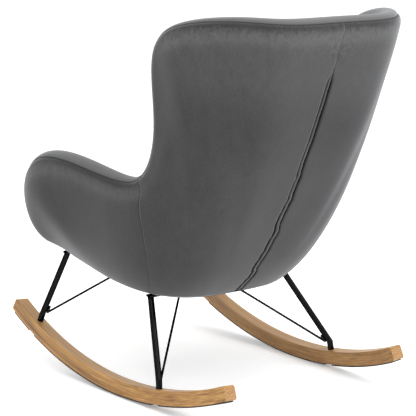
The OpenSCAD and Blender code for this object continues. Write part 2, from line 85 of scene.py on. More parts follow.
# which way the shell faces at the rim: out from an ellipse whose centre moves back with height
FACING_HALF_WIDTH = 310
FACING_HALF_DEPTH = 420
FACING_Y = -80
FACING_Z = 300
FACING_LEAN = 0.384
FACING_DROP = 0.36
UP = np.array([0, BASE_SLOPE, 1]) / math.hypot(1, BASE_SLOPE)


def unit(v):
    return v / np.linalg.norm(v, axis=-1, keepdims=True)


def smooth(t):
    t = np.clip(t, 0, 1)
    return t * t * (3 - 2 * t)


def station(i):
    """The i-th station on each side, carried on in a straight line past the last one."""
    k = np.abs(i)
    past = np.maximum(k - LAST, 0)[..., None]
    s = STATIONS[np.minimum(k, LAST)] + past * (STATIONS[LAST] - STATIONS[LAST - 1])
    return np.where((i < 0)[..., None], s * MIRROR, s)


def row(u):
    """Uniform cubic B-spline through the stations' control points."""
    i = np.floor(u).astype(int)
    s = (u - i)[..., None]
    q = 1 - s
    return (q ** 3 * station(i - 1) + (3 * s ** 3 - 6 * s * s + 4) * station(i)
            + (3 * q ** 3 - 6 * q * q + 4) * station(i + 1) + s ** 3 * station(i + 2)) / 6


def edge_of(r):
    y = r[..., 4]
    return np.stack([r[..., 3], y, BASE_HEIGHT - BASE_SLOPE * y], -1)


def facing(rim):
    """Outward direction of the shell at a point of the rim."""
    back = rim[..., 1] - FACING_Y - FACING_LEAN * (rim[..., 2] - FACING_Z)
    return np.stack([
        rim[..., 0] / FACING_HALF_WIDTH ** 2,
        back / FACING_HALF_DEPTH ** 2,
        -FACING_DROP * np.maximum(back, 0) / FACING_HALF_DEPTH ** 2,
    ], -1)


def rib(u):
    """The four control points of a rib, then the direction of the rim and the rise at the rim."""
    r, fore, aft = row(u), row(u + 0.05), row(u - 0.05)
    rim, edge = r[..., :3], edge_of(r)
    along_rim = unit(fore[..., :3] - aft[..., :3])
    along_edge = unit(edge_of(fore) - edge_of(aft))
    a = np.radians(RIB_RISE - RIB_RISE_LESS * smooth(np.abs(u) / 8))[..., None]
    from_edge = np.cos(a) * unit(np.cross(UP, along_edge)) + np.sin(a) * UP
    rise = unit(np.cross(along_rim, facing(rim)))
    reach = np.linalg.norm(rim - edge, axis=-1, keepdims=True)
    low = edge + r[..., 6:7] * reach * from_edge + r[..., 5:6] * along_edge
    high = rim - r[..., 8:9] * reach * rise + r[..., 7:8] * along_rim
    return edge, low, high, rim, along_rim, rise


def rib_point(r, v):
    v = v[..., None]
    q = 1 - v
    return q ** 3 * r[0] + 3 * q * q * v * r[1] + 3 * q * v * v * r[2] + v ** 3 * r[3]


def rib_slope(r, v):
    v = v[..., None]
    q = 1 - v
    return q * q * (r[1] - r[0]) + 2 * q * v * (r[2] - r[1]) + v * v * (r[3] - r[2])


def skin(u, v, depth=0.0):
    """Point of the shell at rib u, height v, and a depth under the outer skin (mm)."""
    u, v = np.broadcast_arrays(np.asarray(u, float), np.asarray(v, float))
    r = rib(u)
    inward = unit(np.cross(rib_point(rib(u + 0.1), v) - rib_point(rib(u - 0.1), v), rib_slope(r, v)))
    inward = np.where((v > 0.999)[..., None], np.cross(r[4], r[5]), inward)
    depth = np.broadcast_to(np.asarray(depth, float), u.shape)[..., None]
    return rib_point(r, v) + depth * inward


# ---------- thickness of the wall, and its whole skin as one surface ----------

# thickness in mm of the padded edge, of the padding at the seat, of both at the front corner, and
# of the wall at the underside; then the seat's rise above the underside
EDGE_T = 50
PAD_T = 72
CORNER_T = 16
LOW_WALL_T = 13
SEAT_RISE = 138
TILT_COS = math.cos(math.atan(BASE_SLOPE))
# rib numbers where the covers end at the front, and where the seams between back and arm run
END_U = 18.9
SEAM_RIM_U = 10.65
SEAM_BASE_U = 8.3
INNER_SEAM_U = 10.5


def mix(a, b, t):
    return a + (b - a) * t


def edge_at(u):
    return mix(EDGE_T, CORNER_T, smooth((np.abs(u) - 15.5) / 4))


def pad_at(u):
    return mix(PAD_T, CORNER_T, smooth((np.abs(u) - 15) / 4))


def level(u, height):
    """How far up rib u a height above the underside is reached; the short front ribs stop earlier."""
    low, high = np.zeros_like(u), np.ones_like(u)
    r = rib(u)
    for _ in range(12):
        middle = (low + high) / 2
        p = rib_point(r, middle)
        short = (p[..., 2] - BASE_HEIGHT + BASE_SLOPE * p[..., 1]) * TILT_COS < height
        low = np.where(short, middle, low)
        high = np.where(short, high, middle)
    return np.minimum(0.62, low)


def shell(u, t, depth=0.0):
    """Point of the whole skin: t is 0..1 up the outside, 1..2 over the padded edge and 2..3 down
    the inside, and depth is measured into the padding."""
    u, t, depth = (np.asarray(a, float) for a in np.broadcast_arrays(u, t, depth))
    outside = skin(u, np.clip(t, 0, 1), depth)
    r = rib(u)
    inward = np.cross(r[4], r[5])
    half = (edge_at(u) / 2)[..., None]
    turn = (math.pi * np.clip(t - 1, 0, 1))[..., None]
    radius = np.maximum(half - depth[..., None], 0.5)
    edge = r[3] + half * inward + radius * (np.sin(turn) * r[5] - np.cos(turn) * inward)
    seat_v = level(u, SEAT_RISE)
    low_v = mix(level(u, 92), 0.05, smooth((np.abs(u) - 12) / 4))
    v = mix(1, low_v, np.clip(t - 2, 0, 1))
    wall = mix(edge_at(u), pad_at(u), np.clip((1 - v) / (1 - seat_v), 0, 1) ** 1.3)
    wall = mix(LOW_WALL_T, wall, smooth(v / seat_v))
    inside = skin(u, v, wall - depth)
    t = t[..., None]
    return np.where(t < 1, outside, np.where(t < 2, edge, inside))


def crease_t(u):
    """Where the seam between outer and inner covers lies on the padded edge."""
    a = np.abs(u)
    turn = 52 - 8 * smooth((a - 7) / 3) - 18 * smooth((a - 10.5) / 2.5) - 12 * smooth((a - 15) / 3)
    return 1 + turn / 180


def side_seam(t):
    return mix(SEAM_BASE_U, SEAM_RIM_U, smooth((t - 0.05) / 0.8))


def ripple(p, size):
    """Gentle unevenness between -1 and 1, with features of about the given size in mm."""
    x, y, z = np.moveaxis(p * (3 / size), -1, 0)
    return (np.sin(x + 1.3 * np.sin(0.8 * z)) + np.sin(0.9 * y + 1.1 * np.sin(1.1 * x) + 2)
            + np.sin(1.1 * z + 1.2 * np.sin(0.7 * y) + 4)) / 3


# ---------- meshes from grids of points ----------

def spaced(count, fine_start, fine_end, total):
    """Steps from 0 to 1, closer together near the ends that are seams; total is the rough length in mm."""
    near = np.array([0.0, 0.8, 1.8, 3, 4.5, 6.5, 9, 13]) / total
    t = np.linspace(0, 1, count)
    if fine_start:
        t = np.concatenate([near, t[t > near[-1]]])
    if fine_end:
        t = np.concatenate([t[t < 1 - near[-1]], 1 - near[::-1]])
    return t


def lengths(points, axis, from_end=False):
    """Distance along a grid's lines from its first or last row."""
    p = np.flip(points, axis) if from_end else points
    step = np.linalg.norm(np.diff(p, axis=axis), axis=-1)
    total = np.concatenate([np.zeros_like(np.take(step, [0], axis)), np.cumsum(step, axis)], axis)
    return np.flip(total, axis) if from_end else total


def tucked(distance, deep, wide):
    """How deep a cover sinks at a distance from its seam: a rounded edge."""
    s = np.clip(1 - distance / wide, 0, 1)
    return deep * (1 - np.sqrt(1 - s * s))


def grid_object(name, points, marks, flip=False):
    """A smooth mesh from a grid of points in mm; marks are values kept on its points."""
    rows, cols = points.shape[:2]
    ids = np.arange(rows * cols).reshape(rows, cols)
    quads = np.stack([ids[:-1, :-1], ids[1:, :-1], ids[1:, 1:], ids[:-1, 1:]], -1).reshape(-1, 4)
    if flip:
        quads = quads[:, ::-1]
    mesh = bpy.data.meshes.new(name)
    mesh.from_pydata((points.reshape(-1, 3) * MM).tolist(), [], quads.tolist())
    for key, values in marks.items():
        mesh.attributes.new(key, "FLOAT", "POINT").data.foreach_set("value", values.ravel())
    mesh.shade_smooth()
    piece = bpy.data.objects.new(name, mesh)
    bpy.context.collection.objects.link(piece)
    return piece


def thicken(piece, thickness):
    solid = piece.modifiers.new("cloth", "SOLIDIFY")
    solid.thickness = thickness * MM
    solid.offset = -1
    solid.use_even_offset = False


def finish_piece(piece, material, slot, *nodes):
    piece.data.materials.clear()
    piece.data.materials.append(material)
    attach(piece, ROOT)
    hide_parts(*nodes)


# ---------- velvet covers ----------

# depth in mm of the middle seam along the closing and above it, the height where the closing ends,
# and the width in mm of a seam's line of painted shade
DEEP_SEAM = 4.0
PRESSED_SEAM = 0.25
PLACKET_TOP = 0.905
SEAM_LINE_WIDTH = 2.2


def seam_distances(flat):
    """Distance in mm of a panel's points from each of its sides."""
    return {
        "u0": lengths(flat, 0), "u1": lengths(flat, 0, True),
        "t0": lengths(flat, 1), "t1": lengths(flat, 1, True),
    }


def sunk_depth(flat, distance, sinks, seams):
    """How deep a panel lies: it sinks into its seams, with small puckers along them, and swells a
    little and is uneven between them."""
    nearest = np.minimum.reduce([distance[s] for s in seams])
    along = np.where(distance["t1"] < distance["t0"], lengths(flat, 0), lengths(flat, 1))
    puckers = 0.25 * np.exp(-nearest / 13) * np.sin(along * 0.45 + 2 * np.sin(along * 0.043))
    depth = np.max([tucked(distance[s], sinks[s], seams[s].wide) for s in seams], axis=0)
    depth = depth - 0.8 * (1 - np.exp(-nearest / 22)) + puckers * smooth(nearest / 6)
    return depth + 0.6 * ripple(flat, 150) * smooth(nearest / 60)


# painted shade along each seam, darkest in the crease and where the seam sinks deepest
def seam_painted_shade(distance, sinks, seams):
    lines = []
    for s, seam in seams.items():
        strength = np.clip(sinks[s] / DEEP_SEAM, seam.dark, 1)
        lines.append(np.exp(-(distance[s] / SEAM_LINE_WIDTH) ** 2) * strength)
    return np.max(lines, axis=0)


def cover(name, u0, u1, t0, t1, seams, cols, rows):
    """A panel of velvet between two lines u0(t), u1(t) and two lines t0(u), t1(u). seams gives the
    sides where it is sewn, u0, u1, t0 or t1, and the kind of seam."""
    p = spaced(cols, "u0" in seams, "u1" in seams, 420)[:, None]
    q = spaced(rows, "t0" in seams, "t1" in seams, 560)[None, :]
    rough_t = mix(0, 1.3, q) if "t0" not in seams else mix(1.3, 3, q)
    u = mix(u0(rough_t), u1(rough_t), p)
    t = mix(t0(u), t1(u), q)
    flat = shell(u, t)
    distance = seam_distances(flat)
    sinks = {s: seam.deep(t) if callable(seam.deep) else seam.deep for s, seam in seams.items()}
    points = shell(u, t, sunk_depth(flat, distance, sinks, seams))
    # the covers' tone gets painted light and shade: by the crease on the outside, over the padded edge on
    # the inside
    if "t1" in seams:
        tone_and_painted_light, ruffled = outer_shade_and_ruffles(u, t, distance["t1"])
    else:
        tone_and_painted_light, ruffled = inner_painted_light(t)
    marks = {"tone_and_painted_light": tone_and_painted_light, "ruffled": ruffled, "seam": seam_painted_shade(distance, sinks, seams)}
    piece = grid_object(name, points, marks)
    thicken(piece, 1.6)
    return piece


def inner_painted_light(t):
    """Painted light over the padded edge, fading down the inside; the pile isn't ruffled."""
    return 1.3 * (1 - smooth((t - 1.4) / 0.4)), np.zeros_like(t)


def outer_shade_and_ruffles(u, t, rim):
    """Painted light and shade on the outside: painted shade in the crease, a painted highlight in a band
    under it on the back and the arms, painted shade again lower down and painted light towards the top;
    and how ruffled the pile is, most under the crease and on the middle seam above the closing. rim is
    the distance from the crease in mm. The bands were set by comparing the render's brightness with the
    photo's."""
    across = np.abs(u)
    back = 1 - smooth((across - 5.5) / 1.5)
    arm = 0.7 * smooth((across - 10) / 1) * (1 - smooth((across - 15) / 2))
    # painted shade in the crease and a painted highlight in a band below it
    band = 0.9 * np.exp(-((rim - 36) / 16) ** 2) - 1.6 * np.exp(-((rim - 7) / 8) ** 2)
    # painted light towards the top of the shell
    upper = 0.4 * smooth((t - 0.7) / 0.3) + 0.5 * back * smooth((t - 0.7) / 0.15)
    back_and_arms = np.maximum(back, arm)
    on_middle_seam = np.exp(-(u / 0.4) ** 2) * smooth((t - PLACKET_TOP) / 0.03)
    ruffled = back_and_arms * np.exp(-(rim / 50) ** 2) + on_middle_seam
    return back_and_arms * band - 0.6 + upper, np.minimum(ruffled, 1)


def mm_per_rib(t):
    """Width in mm that one rib number spans at the middle of the back, at height t."""
    t = np.clip(t, 0, 1)
    return np.linalg.norm(skin(0.05, t) - skin(-0.05, t), axis=-1) / 0.1


def placket_edge(t):
    """Half the width of the closing's opening at height t, as a rib number: shut at the top."""
    opened = 1 - smooth((t - PLACKET_TOP + 0.05) / 0.05)
    low = 1 - smooth((t - 0.35) / 0.3)
    return (0.1 + opened * (7.4 + 1.2 * low)) / mm_per_rib(t)


def kink(t):
    """Sideways wander of the closing in mm: short straight stretches with small steps."""
    steps = np.tanh(6 * np.sin(31 * t + 1)) * 1.9 + np.tanh(5 * np.sin(57 * t + 3)) * 1.3
    return steps * smooth(t / 0.12) * smooth((0.7 - t) / 0.15)


def middle_seam(t):
    """The middle seam is deep along the closing and pressed flat above it."""
    return mix(DEEP_SEAM, PRESSED_SEAM, smooth((t - PLACKET_TOP + 0.04) / 0.04))


def middle_line(side):
    def line(t):
        return side * placket_edge(t) + kink(t) / mm_per_rib(t)
    return line


def constant(value):
    return lambda x: np.full_like(x, value)


# how deep a seam sinks and how widely the cloth rounds over into it, in mm, and how dark its line of
# painted shade is at least; the depth is a number, or a function of t
Seam = namedtuple("Seam", "deep wide dark")
MIDDLE = Seam(middle_seam, 6, 0.3)
SIDE = Seam(0.6, 6, 0.1)
CREASE = Seam(4.5, 9, 1)
INNER_CREASE = Seam(3.5, 8, 0.8)
INNER_SIDE = Seam(2.0, 6, 0.4)
ARM_END = Seam(7.5, 9, 0.4)


def outer_covers(velvet):
    low, high = constant(0.0), crease_t
    gap = 0.012
    outer = {
        "back_left": (middle_line(1), lambda t: side_seam(t) - gap,
                      {"u0": MIDDLE, "u1": SIDE, "t1": CREASE}, 130),
        "back_right": (lambda t: -side_seam(t) + gap, middle_line(-1),
                       {"u0": SIDE, "u1": MIDDLE, "t1": CREASE}, 130),
        "arm_left": (lambda t: side_seam(t) + gap, constant(END_U),
                     {"u0": SIDE, "u1": ARM_END, "t1": CREASE}, 110),
        "arm_right": (constant(-END_U), lambda t: -side_seam(t) - gap,
                      {"u0": ARM_END, "u1": SIDE, "t1": CREASE}, 110),
    }
    for part, (u0, u1, seams, cols) in outer.items():
        piece = cover("velvet_" + part, u0, u1, low, high, seams, cols, 100)
        finish_piece(piece, velvet, "velvet", "outer_cover_" + part)


def inner_covers(velvet):
    inner = {
        "back": (-INNER_SEAM_U, INNER_SEAM_U,
                 {"u0": INNER_SIDE, "u1": INNER_SIDE, "t0": INNER_CREASE}, 220),
        "arm_left": (INNER_SEAM_U + 0.02, END_U,
                     {"u0": INNER_SIDE, "u1": ARM_END, "t0": INNER_CREASE}, 100),
        "arm_right": (-END_U, -INNER_SEAM_U - 0.02,
                      {"u0": ARM_END, "u1": INNER_SIDE, "t0": INNER_CREASE}, 100),
    }
    for part, (u0, u1, seams, cols) in inner.items():
        piece = cover("velvet_inner_" + part, constant(u0), constant(u1), crease_t,
                      constant(3.0), seams, cols, 110)
        foam = part.replace("arm", "arm_foam") if "arm" in part else "back_foam"
        finish_piece(piece, velvet, "velvet", "inner_cover_" + part, foam)


def closure(velvet):
    """The folded placket down the middle of the back: a raised strip with a wing on either side.
    across and deep give its cross section in mm, from one wing to the other."""
    across = np.array([-16, -9, -5.6, -4.1, -3.7, -2.9, -1.5, 0, 1.5, 2.9, 3.7, 4.1, 5.6, 9, 16])
    deep = np.array([5.2, 5.2, 5.2, 4.6, 2.2, 0.5, -0.1, -0.2, -0.1, 0.5, 2.2, 4.6, 5.2, 5.2, 5.2])
    t = np.linspace(0.0, PLACKET_TOP - 0.01, 160)
    narrow = mix(1, 0.7, smooth((t - 0.35) / 0.45))
    # the strip lies to one side of the opening at the top and to the other lower down
    lean = mix(-1.3, 1.6, smooth((t - 0.35) / 0.2))
    u = (across[:, None] * narrow + kink(t) + lean) / mm_per_rib(t)
    fold = 0.35 * np.sin(t * 95 + 2 * np.sin(t * 21))[None, :] * (np.abs(across) < 4)[:, None]
    points = shell(u, t[None, :], deep[:, None] + fold)
    # the wings, sunk in the gap beside the strip, are painted dark as shade
    shade = np.broadcast_to((deep > 2)[:, None] * 1.0, u.shape).copy()
    marks = {"tone_and_painted_light": np.full(u.shape, 0.15), "seam": shade}
    piece = grid_object("velvet_back_closure", points, marks)
    thicken(piece, 1.0)
    finish_piece(piece, velvet, "velvet", "back_closure")


# ---------- seat cushion ----------

SEAT_CENTRE = np.array([0, -150.0])
RING = 144
TURN = np.linspace(-math.pi, math.pi, RING, endpoint=False)
# height above the underside, share of the way from the board's outline to the top's, and inset
CUSHION_PROFILE = [
    (1.5, 0, 3), (8, 0, 0), (18, 0.05, 0), (40, 0.34, 0), (66, 0.68, 0), (88, 0.92, 0),
    (104, 1, 0), (116, 1, 3), (125, 1, 10), (130, 1, 22), (133, 1, 40),
]
# the crown's loops as shares of its outline, its inset, its height at the rim and its rise, in mm
CROWN_SHARES = (0.7, 0.45, 0.2)
CROWN_INSET = 40
CROWN_BASE = 133
CROWN_RISE = 7
# height and depth of the seam round the shoulder, and the height up to which the cloth is held, in mm
SHOULDER_SEAM = 112
SHOULDER_SINK = 2.2
HELD_BELOW = 12
CLOTH_FRAMES = 20


def radii(outline):
    """Distance from the seat's centre to a closed outline, in RING even directions."""
    outline = np.asarray(outline, float)
    ends = np.roll(outline, -1, axis=0)
    points = np.concatenate([mix(outline, ends, k) for k in np.linspace(0, 0.95, 20)])
    away = points - SEAT_CENTRE
    angle = np.arctan2(away[:, 1], away[:, 0])
    order = np.argsort(angle)
    distance = np.linalg.norm(away, axis=1)
    around = np.interp(TURN, angle[order], distance[order], period=2 * math.pi)
    return (np.roll(around, 1) + 2 * around + np.roll(around, -1)) / 4


def both_sides(half):
    return half + [(-x, y) for x, y in reversed(half)]


def arc(cx, cy, r, a0, a1):
    return [(cx + r * math.cos(a), cy + r * math.sin(a)) for a in np.radians(np.linspace(a0, a1, 7))]


def cushion_outlines():
    """The outline round the seat board and the one at the level of the seat."""
    board = both_sides(arc(201, -298, 30, -90, 0) + arc(106, -58, 123, 0, 90))
    u = np.linspace(14, 0.3, 28)
    wall = skin(u, level(u, SEAT_RISE - 10), pad_at(u) + 7)
    sides = [(float(p[0]), float(p[1])) for p in wall]
    top = both_sides([(90, -394), (170, -390)] + arc(240, -350, 36, -80, 0) + sides)
    return radii(board), radii(top)


def on_plane(x, y, height):
    """A point over the sloping underside, y and height measured square to it, in mm."""
    return np.stack([x, y, BASE_HEIGHT - BASE_SLOPE * y + height / TILT_COS], -1)


def cushion_loops(bottom, top):
    """Loops of points from the board up over the shoulder to the middle of the crown."""
    rings = [(mix(bottom, top, share) - inset, height) for height, share, inset in CUSHION_PROFILE]
    for share in CROWN_SHARES:
        rings.append(((top - CROWN_INSET) * share, CROWN_BASE + CROWN_RISE * (1 - share)))
    return [
        on_plane(SEAT_CENTRE[0] + r * np.cos(TURN), SEAT_CENTRE[1] + r * np.sin(TURN), height)
        for r, height in rings
    ]


def closed_object(name, loops):
    """A closed mesh through loops of points in mm, capped at both ends."""
    mesh = bmesh.new()
    rings = [[mesh.verts.new(p * MM) for p in loop] for loop in loops]
    for a, b in zip(rings, rings[1:]):
        for i in range(RING):
            j = (i + 1) % RING
            mesh.faces.new((a[i], a[j], b[j], b[i]))
    mesh.faces.new(rings[-1])
    mesh.faces.new(list(reversed(rings[0])))
    data = bpy.data.meshes.new(name)
    mesh.to_mesh(data)
    mesh.free()
    piece = bpy.data.objects.new(name, data)
    bpy.context.collection.objects.link(piece)
    return piece


def cushion(velvet):
    bottom, top = cushion_outlines()
    piece = closed_object("velvet_seat_cushion", cushion_loops(bottom, top))
    puff(piece, voxel=0.007, cap=0.007)
    seam_mark(piece)
    finish_piece(piece, velvet, "velvet", "seat_cover", "seat_foam")


def apply_modifiers(piece):
    graph = bpy.context.evaluated_depsgraph_get()
    done = bpy.data.meshes.new_from_object(piece.evaluated_get(graph))
    piece.modifiers.clear()
    piece.data = done


def swell(piece):
    """Blow the piece up with cloth pressure, held where it stands on the seat board."""
    points = np.array([v.co for v in piece.data.vertices])
    height = points @ UP - BASE_HEIGHT * MM * UP[2]
    fixed = piece.vertex_groups.new(name="fixed")
    fixed.add([int(i) for i in np.flatnonzero(height < HELD_BELOW * MM)], 1.0, "REPLACE")
    cloth = piece.modifiers.new("cloth", "CLOTH")
    cloth.settings.quality = 5
    cloth.settings.mass = 0.3
    cloth.settings.tension_stiffness = 15
    cloth.settings.bending_stiffness = 1
    cloth.settings.use_pressure = True
    cloth.settings.uniform_pressure_force = 4
    cloth.settings.vertex_group_mass = "fixed"
    cloth.settings.effector_weights.gravity = 0
    cloth.point_cache.frame_start = 1
    cloth.point_cache.frame_end = CLOTH_FRAMES
    for frame_number in range(1, CLOTH_FRAMES + 1):
        bpy.context.scene.frame_set(frame_number)
    apply_modifiers(piece)
    bpy.context.scene.frame_set(1)


def puff(piece, voxel, cap):
    """Remesh evenly, swell, keep every point within cap of its place, then smooth and subdivide."""
    remesh = piece.modifiers.new("remesh", "REMESH")
    remesh.mode = "VOXEL"
    remesh.voxel_size = voxel
    apply_modifiers(piece)
    rest = np.array([v.co for v in piece.data.vertices])
    swell(piece)
    moved = np.array([v.co for v in piece.data.vertices]) - rest
    far = np.linalg.norm(moved, axis=1, keepdims=True)
    placed = rest + moved * np.minimum(1, cap / np.maximum(far, 1e-9))
    piece.data.vertices.foreach_set("co", placed.ravel())
    smoother = piece.modifiers.new("smooth", "SMOOTH")
    smoother.iterations = 6
    finer = piece.modifiers.new("finer", "SUBSURF")
    finer.levels = 1
    finer.render_levels = 1
    apply_modifiers(piece)


def seam_mark(piece):
    """A sewn seam round the cushion's shoulder, sunk into the mesh, with painted shade along it."""
    mesh = piece.data
    points = np.array([v.co for v in mesh.vertices]) / MM
    normals = np.array([v.normal for v in mesh.vertices])
    height = (points[:, 2] - BASE_HEIGHT + BASE_SLOPE * points[:, 1]) * TILT_COS
    off = (height - SHOULDER_SEAM) * (np.linalg.norm(points[:, :2] - SEAT_CENTRE, axis=1) > 120)
    near = np.exp(-(off / 4) ** 2) * (off != 0)
    sunk = points - normals * SHOULDER_SINK * near[:, None]
    mesh.vertices.foreach_set("co", (sunk * MM).ravel())
    for key, values in (("seam", 0.8 * near), ("tone_and_painted_light", 0.2 * ripple(points, 160))):
        mesh.attributes.new(key, "FLOAT", "POINT").data.foreach_set("value", values)
    mesh.shade_smooth()


# ---------- dust cover ----------

# where the cloth ends at the rear and the front, how far inside the covers' edge it stays at the
# sides, and how far its hem line is from its border, in mm
DUST_REAR = 90
DUST_FRONT = -336
DUST_MARGIN = 5
HEM = 11


def dust_cover(cloth):
    """Black cloth under the seat, out to near the covers' edge, with a hem line by its border."""
    u = np.linspace(0.0, END_U, 90)
    r = row(u)
    k = spaced(60, True, True, 460)
    half = r[:, 3][None, :] - DUST_MARGIN
    y = r[:, 4] + (4 - 8 * smooth((-r[:, 4] + 100) / 200))
    x = mix(-half, half, k[:, None])
    y = np.broadcast_to(y[None, :], x.shape)
    border = np.minimum(np.minimum(half - np.abs(x), DUST_REAR - y), y - DUST_FRONT)
    sag = -1.2 * smooth(border / 60) + 0.5 * np.exp(-border / 8)
    wrinkle = 0.35 * ripple(np.stack([x, y, 0 * x], -1), 60) * smooth(border / 25)
    height = sag + wrinkle - 0.4 - 0.5 * smooth(1 - border / 12)
    points = on_plane(x, y, height)
    hem = np.exp(-((border - HEM) / 1.5) ** 2)
    piece = grid_object("dust_cloth", points, {"seam": hem, "tone_and_painted_light": 0 * hem}, flip=True)
    thicken(piece, 0.6)
    finish_piece(piece, cloth, "dust_cloth", "dust_cover")


# ---------- materials ----------

class Paint:
    """A node material under construction, with short names for the nodes it needs."""

    def __init__(self, name, **settings):
        self.material = bpy.data.materials.new(name)
        self.material.use_nodes = True
        self.tree = self.material.node_tree
        self.shader = self.tree.nodes["Principled BSDF"]
        for key, value in settings.items():
            self.shader.inputs[key.replace("_", " ")].default_value = value
        self.place = self.tree.nodes.new("ShaderNodeTexCoord").outputs["Object"]

    def link(self, value, socket):
        if hasattr(value, "links"):
            self.tree.links.new(value, socket)
        else:
            socket.default_value = value

    def math(self, operation, a, b=0.0):
        node = self.tree.nodes.new("ShaderNodeMath")
        node.operation = operation
        for value, socket in zip((a, b), node.inputs):
            self.link(value, socket)
        return node.outputs[0]

    def stretched(self, scale, source=None):
        node = self.tree.nodes.new("ShaderNodeMapping")
        self.link(source or self.place, node.inputs["Vector"])
        node.inputs["Scale"].default_value = scale
        return node.outputs[0]

    def noise(self, scale, detail=4.0, rough=0.5, warp=0.0, where=None):
        node = self.tree.nodes.new("ShaderNodeTexNoise")
        self.link(where or self.place, node.inputs["Vector"])
        node.inputs["Scale"].default_value = scale
        node.inputs["Detail"].default_value = detail
        node.inputs["Roughness"].default_value = rough
        node.inputs["Distortion"].default_value = warp
        return node.outputs["Fac"]

    def spread(self, value, low, high, to_low=0.0, to_high=1.0):
        node = self.tree.nodes.new("ShaderNodeMapRange")
        for item, socket in zip((value, low, high, to_low, to_high), node.inputs):
            self.link(item, socket)
        return node.outputs[0]

    def colours(self, value, *stops):
        """A colour ramp: each stop is a position and a colour."""
        node = self.tree.nodes.new("ShaderNodeValToRGB")
        ramp = node.color_ramp
        while len(ramp.elements) < len(stops):
            ramp.elements.new(0.5)
        for element, (position, colour) in zip(ramp.elements, stops):
            element.position = position
            element.color = (*colour, 1)
        self.link(value, node.inputs[0])
        return node.outputs[0]

    def blend(self, share, a, b):
        node = self.tree.nodes.new("ShaderNodeMix")
        node.data_type = "RGBA"
        self.link(share, node.inputs["Factor"])
        for value, socket in ((a, node.inputs[6]), (b, node.inputs[7])):
            self.link((*value, 1) if isinstance(value, tuple) else value, socket)
        return node.outputs[2]

    def mark(self, name):
        node = self.tree.nodes.new("ShaderNodeAttribute")
        node.attribute_name = name
        return node.outputs["Fac"]

    def bump(self, height, distance, strength=1.0, under=None):
        node = self.tree.nodes.new("ShaderNodeBump")
        node.inputs["Distance"].default_value = distance
        node.inputs["Strength"].default_value = strength
        self.link(height, node.inputs["Height"])
        if under is not None:
            self.link(under, node.inputs["Normal"])
        return node.outputs[0]

    def finish(self, colour=None, rough=None, normal=None):
        for value, key in ((colour, "Base Color"), (rough, "Roughness"), (normal, "Normal")):
            if value is not None:
                self.link(value, self.shader.inputs[key])
        return self.material


def velvet_material():
    """Short dark grey pile: brushed patches, fine fibre, and a lighter bloom where it turns away.
    Its tones were set by comparing the render's brightness with the photo's."""
    p = Paint("velvet", Sheen_Roughness=0.42, Specular_IOR_Level=0.12)
    p.shader.inputs["Sheen Tint"].default_value = (0.86, 0.87, 0.9, 1)
    patches = p.noise(4.2, 2, 0.5, 0.4, p.stretched((1, 1, 0.7)))
    strokes = p.noise(48, 4, 0.6, 0.4, p.stretched((1, 1, 0.4)))
    fibre = p.noise(1500, 2, 0.7)
    tufts = p.noise(330, 3, 0.65)
    tone = p.math("ADD", p.math("MULTIPLY", patches, 0.36), p.math("MULTIPLY", strokes, 0.28))
    tone = p.math("ADD", tone, 0.18)
    # the covers' tone mark adds painted light and shade here; on the cushion and the closing it is only
    # uneven tone
    tone = p.math("ADD", tone, p.math("MULTIPLY", p.mark("tone_and_painted_light"), 0.24))
    tone = p.math("ADD", tone, p.math("MULTIPLY", p.math("SUBTRACT", tufts, 0.5), 0.38))
    tone = p.math("ADD", tone, p.math("MULTIPLY", p.math("SUBTRACT", fibre, 0.5), 0.26))
    ruffles = p.noise(150, 4, 0.7, 0.8, p.stretched((1, 1, 0.6)))
    ruffles = p.math("MULTIPLY", p.math("SUBTRACT", ruffles, 0.5), p.mark("ruffled"))
    tone = p.math("ADD", tone, p.math("MULTIPLY", ruffles, 1.1))
    colour = p.colours(tone, (0.20, (0.026, 0.026, 0.027)), (0.5, (0.053, 0.053, 0.054)),
                       (0.80, (0.090, 0.090, 0.091)))
    # painted shade: along the seams and in the closing's gap the colour goes nearly black and the sheen is
    # taken away
    seam = p.mark("seam")
    colour = p.blend(p.math("MULTIPLY", seam, 0.92), colour, (0.004, 0.004, 0.004))
    p.link(p.spread(seam, 0, 1, 0.48, 0.0), p.shader.inputs["Sheen Weight"])
    rough = p.spread(strokes, 0.3, 0.7, 0.72, 0.95)
    height = p.math("ADD", p.math("MULTIPLY", fibre, 0.4), p.math("MULTIPLY", tufts, 0.6))
    normal = p.bump(strokes, 0.0005, 0.3)
    normal = p.bump(height, 0.0005, 0.55, normal)
    return p.finish(colour, rough, normal)


# height over the floor of the centre of the runners' arcs, and about their radius, in metres
ARC_CENTRE = 1.052
LAMINATION = 0.0045


def along_runner(p):
    """Coordinates across, along and out of a runner's arc, and the distance from the arc's centre."""
    split = p.tree.nodes.new("ShaderNodeSeparateXYZ")
    p.link(p.place, split.inputs[0])
    x, y, z = split.outputs
    drop = p.math("SUBTRACT", ARC_CENTRE, z)
    radius = p.math("SQRT", p.math("ADD", p.math("MULTIPLY", y, y), p.math("MULTIPLY", drop, drop)))
    along = p.math("MULTIPLY", p.math("ARCTAN2", y, drop), ARC_CENTRE)
    grain = p.tree.nodes.new("ShaderNodeCombineXYZ")
    for value, socket in zip((x, along, radius), grain.inputs):
        p.link(value, socket)
    return grain.outputs[0], radius


